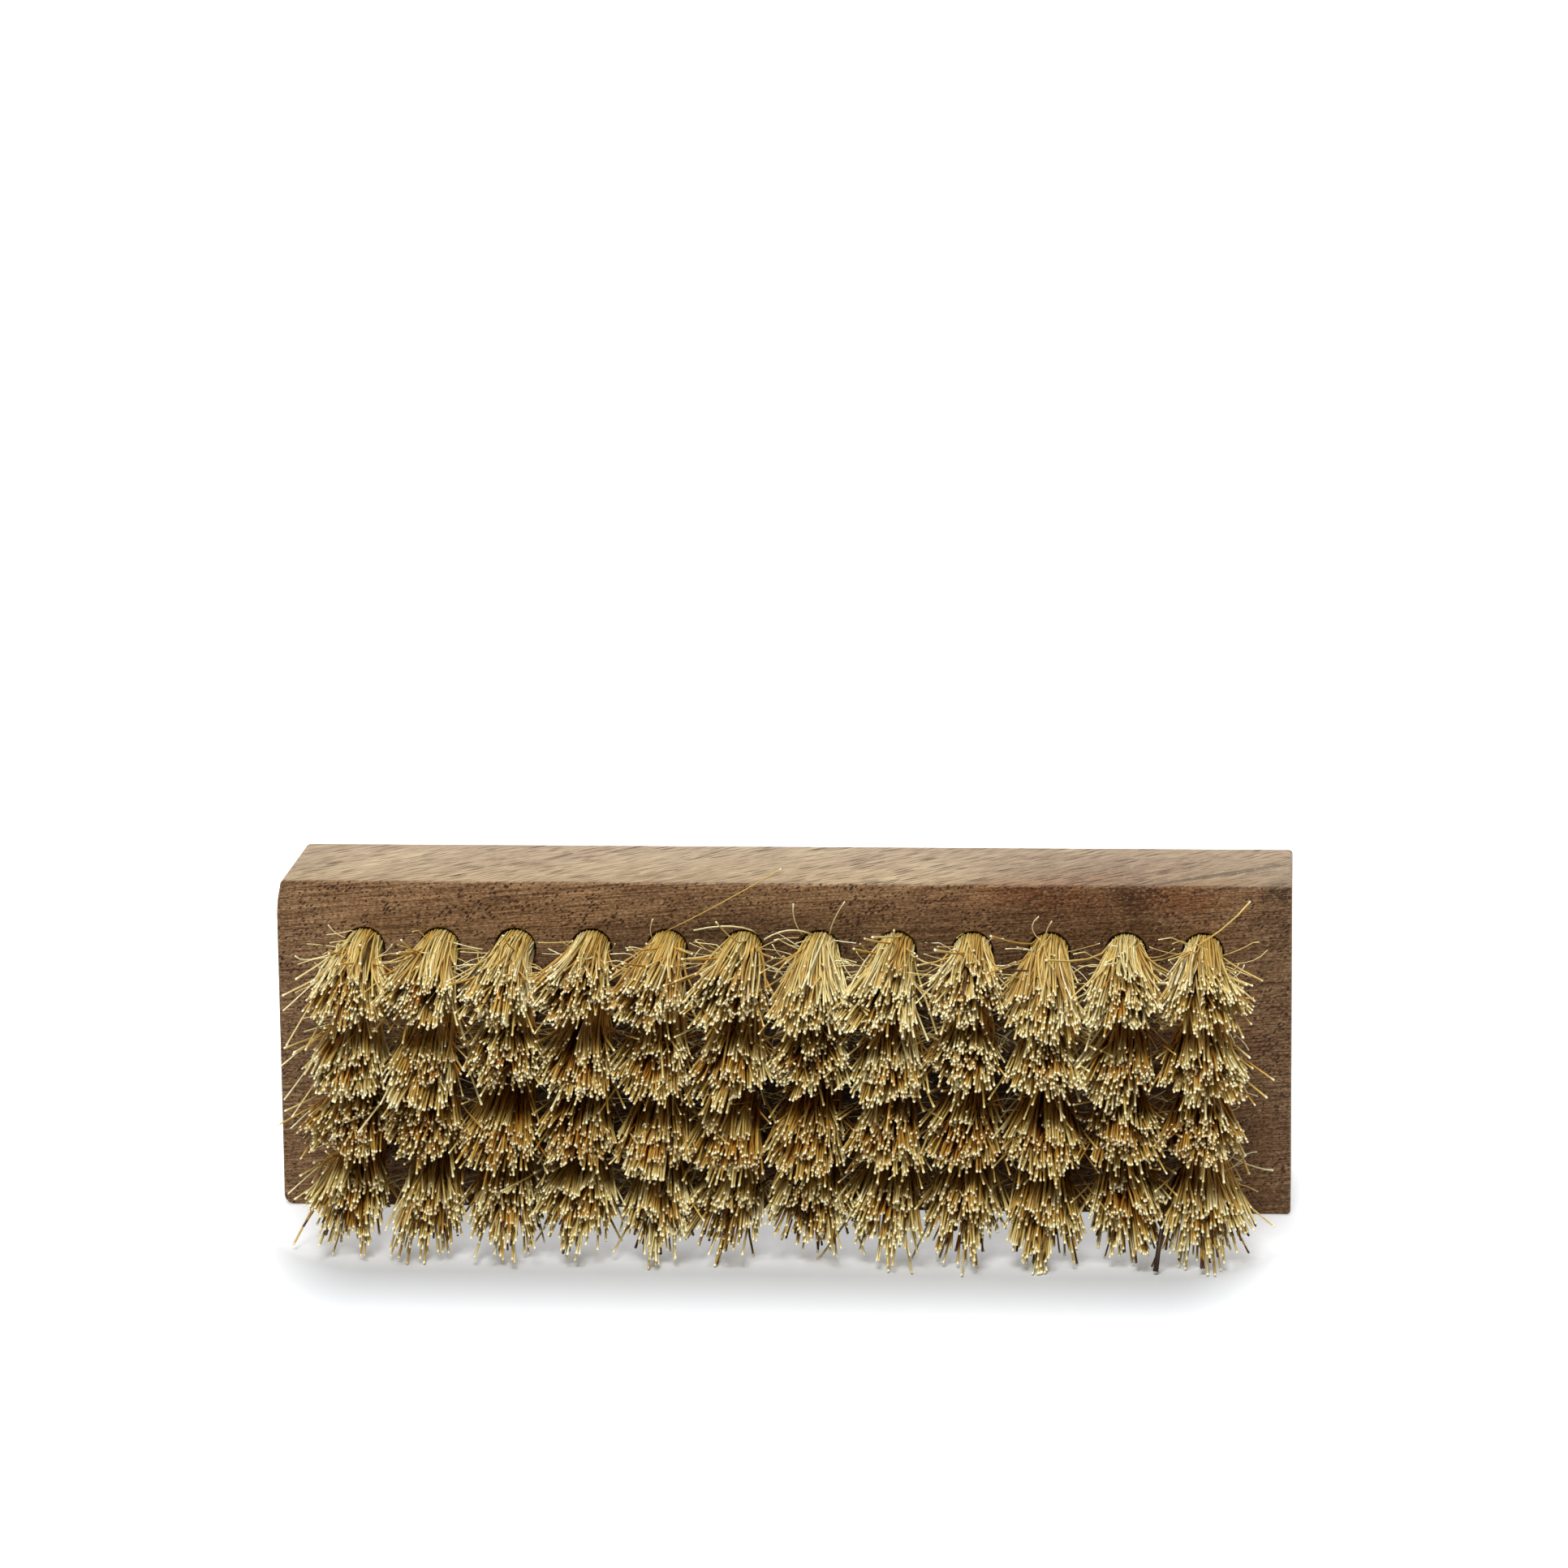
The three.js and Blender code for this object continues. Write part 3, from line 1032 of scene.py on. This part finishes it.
@dataclass
class LooseFibres:
    """Thin fibres that have worked loose along one row, most of them short and curled."""

    row: int
    tufts: Sequence[Tuft]
    bundle: FibreBundle = field(default_factory=FibreBundle)
    first_seed: int = 70
    wisps: int = 16
    shortest: float = 3 * MM
    longest: float = 8 * MM
    rise: float = 2.9 * MM
    # Mean and spread of the turns of wisps that leave a tuft to the left and to the right, in degrees
    left_share: float = 0.7
    left_turns: Pair = (165, 30)
    right_turns: Pair = (5, 25)
    # Where along the tuft a wisp leaves it, how far in it starts, and its tilt and curl in degrees
    starts: Pair = (0.02, 0.6)
    seat: float = 0.9
    tilts: Pair = (20, 80)
    curls: Pair = (3, 18)
    tones: Pair = (0.3, 1.0)
    thinnest: float = 0.06 * MM
    thickest: float = 0.09 * MM
    steps: int = 7
    root_share: float = 0.4
    strays: tuple[Stray, ...] = (
        Stray(1, 1, ((-2.3, 0.8, 1.5), (-3.0, 1.5, 1.9), (-3.8, 2.0, 2.6), (-4.3, 2.5, 3.6))),
        Stray(1, 1, ((-2.2, 3.0, 0.3), (-5.0, 7.0, 0.2), (-6.6, 10.0, 0.0), (-7.4, 11.0, 1.4)), 0.11),
        Stray(1, 1, ((-2.2, 4.0, -0.5), (-4.5, 10.0, -1.5), (-6.2, 15.0, -3.0), (-8.0, 18.0, -4.2)), 0.12),
        Stray(2, 1, ((-2.2, 4.0, 0.0), (-4.5, 10.0, -0.5), (-6.4, 15.0, -1.5), (-8.6, 18.0, -3.0)), 0.12),
        Stray(2, 1, ((-2.0, 4.0, -0.5), (-4.5, 10.0, -2.5), (-6.2, 15.0, -5.0), (-8.2, 18.0, -7.4)), 0.12),
        Stray(3, 1, ((-2.2, 4.0, 0.0), (-4.5, 10.0, -0.5), (-6.0, 14.0, -1.6), (-7.6, 17.0, -2.8)), 0.11),
        Stray(4, 1, ((-2.2, 4.0, 0.0), (-5.0, 10.0, -0.6), (-6.4, 15.0, -1.6), (-8.0, 18.0, -2.6)), 0.12),
        Stray(1, 2, ((-1.3, 1.2, 1.5), (1.0, 3.2, 2.2), (3.5, 4.2, 1.2), (6.3, 4.8, 1.0)), 0.1),
        Stray(1, 5, ((-0.5, 0.5, 2.4), (5.0, 3.0, 5.5), (10.5, 5.0, 9.0), (15.6, 6.0, 12.3)), tone=0.35),
        Stray(1, 5, ((-1.9, 0.5, 1.7), (-2.2, 1.0, 2.6), (-2.0, 1.5, 3.6), (-1.6, 2.0, 4.6))),
        Stray(1, 6, ((2.0, 0.5, 2.3), (1.0, 3.5, 4.2), (-2.5, 4.5, 4.6), (-6.0, 5.0, 3.8)), 0.12),
        Stray(1, 7, ((-2.2, 0.5, 2.3), (-2.9, 1.5, 3.5), (-3.4, 2.5, 5.2), (-3.1, 3.0, 7.0))),
        Stray(1, 7, ((1.4, 0.5, 2.4), (1.8, 1.5, 4.2), (2.6, 2.5, 5.8), (3.6, 3.0, 7.3))),
        Stray(1, 7, ((-0.8, 0.5, 2.3), (-3.0, 2.5, 3.8), (-5.0, 3.5, 3.6), (-6.9, 4.0, 2.4)), 0.12),
        Stray(1, 10, ((-0.6, 1.0, 1.6), (-2.0, 2.0, 2.6), (-2.8, 2.5, 4.2), (-1.2, 3.0, 5.5))),
        Stray(1, 10, ((-0.2, 1.0, 1.8), (-0.6, 2.0, 3.0), (0.0, 2.5, 4.0), (0.5, 3.0, 4.9))),
        Stray(1, 11, ((2.3, 3.0, -0.5), (7.5, 6.0, 0.5), (13.0, 7.0, 4.5), (16.2, 7.0, 8.6)), 0.12, 0.4),
        Stray(4, 12, ((2.5, 6.0, 1.0), (5.0, 8.0, 0.4), (7.0, 9.0, -0.5), (9.3, 10.0, -0.3)), 0.12),
        Stray(4, 12, ((-1.5, 1.0, -1.0), (-3.5, 16.0, 1.5), (-4.6, 30.0, -1.0), (-5.4, 29.0, -8.6)), 0.3, 0),
    )

    def build(self) -> Shape:
        """Lays the loose fibres and draws them.

        Returns:
            The shape of all loose fibres of the row.
        """
        rng = random.Random(self.first_seed + self.row)
        strands = [self.wisp(rng, tuft) for tuft in self.tufts for _ in range(self.wisps)]
        strands += [self.sprung(stray) for stray in self.strays if stray.row == self.row]
        return self.bundle.build(strands)

    def wisp(self, rng: random.Random, tuft: Tuft) -> Strand:
        """Lays a short curled fibre that leaves a tuft sideways.

        Args:
            rng: the row's random numbers.
            tuft: tuft that holds it.

        Returns:
            The fibre.
        """
        turns = self.left_turns if rng.random() < self.left_share else self.right_turns
        turn = math.radians(rng.gauss(*turns))
        across = Vector((math.cos(turn), 0, math.sin(turn)))
        start = rng.uniform(*self.starts)
        width = tuft.root_radius * (1 - start) + tuft.spread_z * start
        along = Vector((tuft.lean * start, -tuft.reach * start, -tuft.wear.droop * start))
        place = tuft.mouth + across * width * self.seat + along
        tilt = math.radians(rng.uniform(*self.tilts))
        run = across * math.sin(tilt) + Vector((0, -math.cos(tilt), 0))
        axis = Vector((rng.gauss(0, 1), rng.gauss(0, 1), rng.gauss(0, 1))).normalized()
        curl = Matrix.Rotation(math.radians(rng.uniform(*self.curls)), 3, axis)
        stride = rng.uniform(self.shortest, self.longest) / (self.steps - 1)
        places = [place - run * stride / 2]
        for _ in range(self.steps - 1):
            place = places[-1] + run * stride
            place.z = min(max(place.z, tuft.floor), tuft.mouth.z + self.rise)
            place.y = min(place.y, tuft.mouth.y - tuft.floor)
            places.append(place)
            run = curl @ run
        return self.strand(places, rng.uniform(self.thinnest, self.thickest), rng.uniform(*self.tones))

    def sprung(self, stray: Stray) -> Strand:
        """Lays a long stray fibre along its curve.

        Args:
            stray: the fibre's curve.

        Returns:
            The fibre.
        """
        mouth = self.tufts[stray.column - 1].mouth
        knots = [mouth + Vector((right, -out, up)) * MM for right, out, up in stray.points]
        places = [Vector(place) for place in interpolate_bezier(*knots, self.steps)]
        return self.strand(places, stray.radius * MM, stray.tone)

    def strand(self, places: list[Vector], radius: float, tone: float) -> Strand:
        """Makes a loose fibre of one radius and one tone along some places."""
        last = self.steps - 1
        shares = [self.root_share + (1 - self.root_share) * step / last for step in range(self.steps)]
        return Strand(places, shares, [tone] * self.steps, [0.0] * self.steps, radius)

    def dress(self, fibre: Material) -> Piece:
        """Makes the finished loose fibres.

        Args:
            fibre: material of the fibres.

        Returns:
            The piece with all loose fibres of the row.
        """
        piece = finished_piece(f"loose_fibres_{self.row}", self.build(), fibre)
        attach(piece, BODY)
        return piece


@dataclass
class TuftBed:
    """All tufts, placed by the anchors that hold them."""

    face_y: float
    tip_y: float
    # How far the ends of each column's tufts lean to the right, in millimetres
    leans: tuple[float, ...] = (1.1, 0.6, 0.8, 0.8, 0.4, -0.1, 0.2, 0.1, 0.0, 0.3, 0.6, 0.6)
    splay_left: float = 0.4 * MM
    # Per row, amber painted shade, most in the middle rows, and on the lowest row painted light from the
    # floor
    wears: tuple[RowWear, ...] = (
        RowWear(1.2 * MM, 4.0 * MM, 0.08, 0.82, 0.48),
        RowWear(1.8 * MM, 0.8 * MM, 0.54, 0.76, 0.57),
        RowWear(2.2 * MM, 0.8 * MM, 0.58, 0.4, 0.46),
        RowWear(2.5 * MM, 3.2 * MM, 0.46, 0.78, 0.58, splay_down=4.6 * MM, painted_floor_light=0.08, dark_end_share=0.16),
    )

    def anchor_name(self, row: int, column: int) -> str:
        """Gives the name of an anchor's CAD node."""
        return f"anchor_{row}_{column:02d}"

    def tufts(self) -> list[Tuft]:
        """Places every tuft.

        Returns:
            The tufts, row by row from the top and from left to right.
        """
        tufts = []
        for row, wear in enumerate(self.wears, start=1):
            for column, lean in enumerate(self.leans, start=1):
                low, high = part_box(self.anchor_name(row, column))
                anchor = (Vector(low) + Vector(high)) / 2
                mouth = Vector((anchor.x, self.face_y, anchor.z))
                reach = self.face_y - self.tip_y
                left = self.splay_left if column == 1 else 0.0
                right = wear.splay_right if column == COLUMNS else 0.0
                tufts.append(Tuft(row, column, mouth, anchor, reach, lean * MM, wear, left, right))
        return tufts

    def dress_anchors(self, wire: Material) -> int:
        """Gives the anchors' CAD solids their material.

        Args:
            wire: material of the anchors.

        Returns:
            How many anchors there are.
        """
        rows, columns = range(1, ROWS + 1), range(1, COLUMNS + 1)
        names = [self.anchor_name(row, column) for row in rows for column in columns]
        for name in names:
            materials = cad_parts[name].data.materials
            materials.clear()
            materials.append(wire)
        return len(names)


@dataclass(frozen=True)
class Softbox:
    """A soft lamp: its name, its place and the sides of its face in metres, and its power in watts."""

    name: str
    place: Triple
    size: Pair
    power: float

    def hang(self, target: Vector) -> None:
        """Hangs the lamp so that it faces a place.

        Args:
            target: place that it faces.
        """
        data = bpy.data.lights.new(self.name, "AREA")
        data.shape = "RECTANGLE"
        data.size, data.size_y = self.size
        data.energy = self.power
        lamp = bpy.data.objects.new(self.name, data)
        lamp.location = self.place
        lamp.rotation_euler = (target - Vector(self.place)).to_track_quat("-Z", "Y").to_euler()
        bpy.context.scene.collection.objects.link(lamp)


@dataclass
class Studio:
    """White floor, soft lamps and pale surroundings."""

    floor_side: float = 6.0
    floor_drop: float = 0.1 * MM
    floor_white: str = "#EEEFF0"
    # The eye sees the floor greyer than it lights with; near the brush, where it glows little, the grey is
    # partly its shadow and partly painted shade
    floor_shown: str = "#C8CACD"
    # How bright the floor glows, by its distance in metres from a line along the brush. The shape makes the
    # distance count more past the ends of the line
    glow: Remap = Remap(0.022, 0.08, 0.02, 1.0)
    glow_middle: Triple = (0.0, -0.015, 0.0)
    glow_half: Triple = (0.05, 0.0, 0.0)
    glow_shape: Triple = (3.0, 1.0, 1.0)
    # Painted light under the brush, which lightens its shadow there: how bright it glows by the place from
    # front to back
    painted_light_under: Remap = Remap(-46 * MM, -26 * MM, 0.0, 0.5)
    ambient: float = 0.024
    target: Vector = field(default_factory=lambda: Vector((0, -0.02, 0.02)))
    lamps: tuple[Softbox, ...] = (
        Softbox("overhead_softbox", (0.0, 0.3, 1.0), (1.2, 1.0), 6.95),
        Softbox("front_softbox", (-0.05, -0.95, 1.1), (0.55, 0.45), 19.2),
        Softbox("low_reflector", (0.0, -0.9, 0.06), (0.8, 0.1), 0.2),
    )

    def build(self) -> None:
        """Sets up the floor, the world and the lamps."""
        self.floor()
        self.world()
        for lamp in self.lamps:
            lamp.hang(self.target)

    def floor(self) -> None:
        """Lays the floor, matte white, lifted towards white where the camera or a reflection sees it, with
        painted light under the brush and partly painted shade round it.
        """
        material, tree = new_material("matte_white_floor")
        node = partial(add_node, tree)
        seen = self.seen(tree)
        mix = {MIX_FACTOR: seen, MIX_A: linear(self.floor_white), MIX_B: linear(self.floor_shown)}
        paper = node("Mix", mix, data_type="RGBA")[MIX_RESULT]
        matte = node("BsdfDiffuse", {"Color": paper})["BSDF"]
        place = node("TexCoord")["Object"]
        off = node("VectorMath", {0: place, 1: self.glow_middle}, operation="SUBTRACT")["Vector"]
        past = node("VectorMath", {0: off}, operation="ABSOLUTE")["Vector"]
        steps = (("SUBTRACT", self.glow_half), ("MAXIMUM", (0, 0, 0)), ("MULTIPLY", self.glow_shape))
        for operation, other in steps:
            past = node("VectorMath", {0: past, 1: other}, operation=operation)["Vector"]
        far = node("VectorMath", {0: past}, operation="LENGTH")["Value"]
        depth = node("SeparateXYZ", {"Vector": place})["Y"]
        lift, under = (
            node("MapRange", remap.of(value), interpolation_type="SMOOTHSTEP")["Result"]
            for remap, value in ((self.glow, far), (self.painted_light_under, depth))
        )
        higher = node("Math", {0: lift, 1: under}, operation="MAXIMUM")[0]
        shown = node("Math", {0: higher, 1: seen}, operation="MULTIPLY")[0]
        glow = node("Emission", {"Color": linear(WHITE), "Strength": shown})["Emission"]
        both = node("AddShader", {0: matte, 1: glow})["Shader"]
        node("OutputMaterial", {"Surface": both})
        bm = bmesh.new()
        drop = Matrix.Translation((0, 0, -self.floor_drop))
        bmesh.ops.create_grid(bm, x_segments=1, y_segments=1, size=self.floor_side / 2, matrix=drop)
        finished_piece("studio_floor", bm, material)

    def seen(self, tree: Tree, otherwise: float = 0.0) -> Socket:
        """Tells rays that see the surroundings from rays that only light.

        Args:
            tree: node tree that gets the nodes.
            otherwise: value for rays that only light.

        Returns:
            The socket that carries 1 for rays from the camera, from glossy surfaces and through clear ones.
        """
        path = add_node(tree, "LightPath")
        seen = path["Is Camera Ray"]
        for ray in ("Is Glossy Ray", "Is Transmission Ray"):
            seen = add_node(tree, "Math", {0: seen, 1: path[ray]}, operation="MAXIMUM")[0]
        return add_node(tree, "MapRange", Remap(0.0, 1.0, otherwise, 1.0).of(seen))["Result"]

    def world(self) -> None:
        """Makes the surroundings white to the eye and dim as a light."""
        world = bpy.data.worlds.new("studio_surroundings")
        world.use_nodes = True
        tree = world.node_tree
        tree.nodes.clear()
        inputs = {"Color": linear(WHITE), "Strength": self.seen(tree, self.ambient)}
        glow = add_node(tree, "Background", inputs)["Background"]
        add_node(tree, "OutputWorld", {"Surface": glow})
        bpy.context.scene.world = world


@dataclass
class PhotoCamera:
    """Camera at the photograph's viewpoint, fitted to the outline of the block."""

    face_y: float
    image_side: float = 1932.0
    focal_pixels: float = 8000.0
    sensor: float = 36.0
    yaw: float = math.radians(4.786)
    pitch: float = math.radians(11.653)
    roll: float = math.radians(-0.661)
    distance: float = 844.06 * MM
    aim_side: float = 0.608 * MM
    aim_height: float = 57.243 * MM

    def build(self) -> None:
        """Sets the scene's camera up."""
        right = Vector((math.cos(self.yaw), math.sin(self.yaw), 0))
        ahead = Vector((-math.sin(self.yaw), math.cos(self.yaw), 0)) * math.cos(self.pitch)
        ahead.z = -math.sin(self.pitch)
        up = right.cross(ahead)
        aim = right * self.aim_side + Vector((0, self.face_y, self.aim_height))
        turned_right = right * math.cos(self.roll) + up * math.sin(self.roll)
        turned_up = up * math.cos(self.roll) - right * math.sin(self.roll)
        axes = Matrix((turned_right, turned_up, -ahead)).transposed()
        data = bpy.data.cameras.new("photo_camera")
        data.sensor_width = self.sensor
        data.lens = self.focal_pixels * self.sensor / self.image_side
        camera = bpy.data.objects.new("photo_camera", data)
        camera.matrix_world = Matrix.Translation(aim - ahead * self.distance) @ axes.to_4x4()
        bpy.context.scene.collection.objects.link(camera)
        bpy.context.scene.camera = camera


def main() -> None:
    """Builds the brush, the studio and the camera, and reports each piece."""
    logging.basicConfig(level=logging.INFO, format="%(name)s: %(message)s")
    bpy.context.scene.view_settings.view_transform = "Standard"
    face_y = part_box("wooden_block")[0][1]
    tip_y = min(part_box(f"bristle_row_{row}")[0][1] for row in range(1, ROWS + 1))
    PhotoCamera(face_y).build()
    Studio().build()
    bed = TuftBed(face_y, tip_y)
    tufts = bed.tufts()
    pieces = [Block([tuft.mouth for tuft in tufts]).dress(OiledHardwood().material())]
    fibre = PlantFibre().material()
    pieces += [tuft.dress(fibre) for tuft in tufts]
    for row in range(1, ROWS + 1):
        pieces.append(LooseFibres(row, [tuft for tuft in tufts if tuft.row == row]).dress(fibre))
    for piece in pieces:
        log.info("%s: %d faces", piece.name, len(piece.data.polygons))
    log.info("%d anchors", bed.dress_anchors(DrawnWire().material()))


if __name__ == "__main__":
    main()
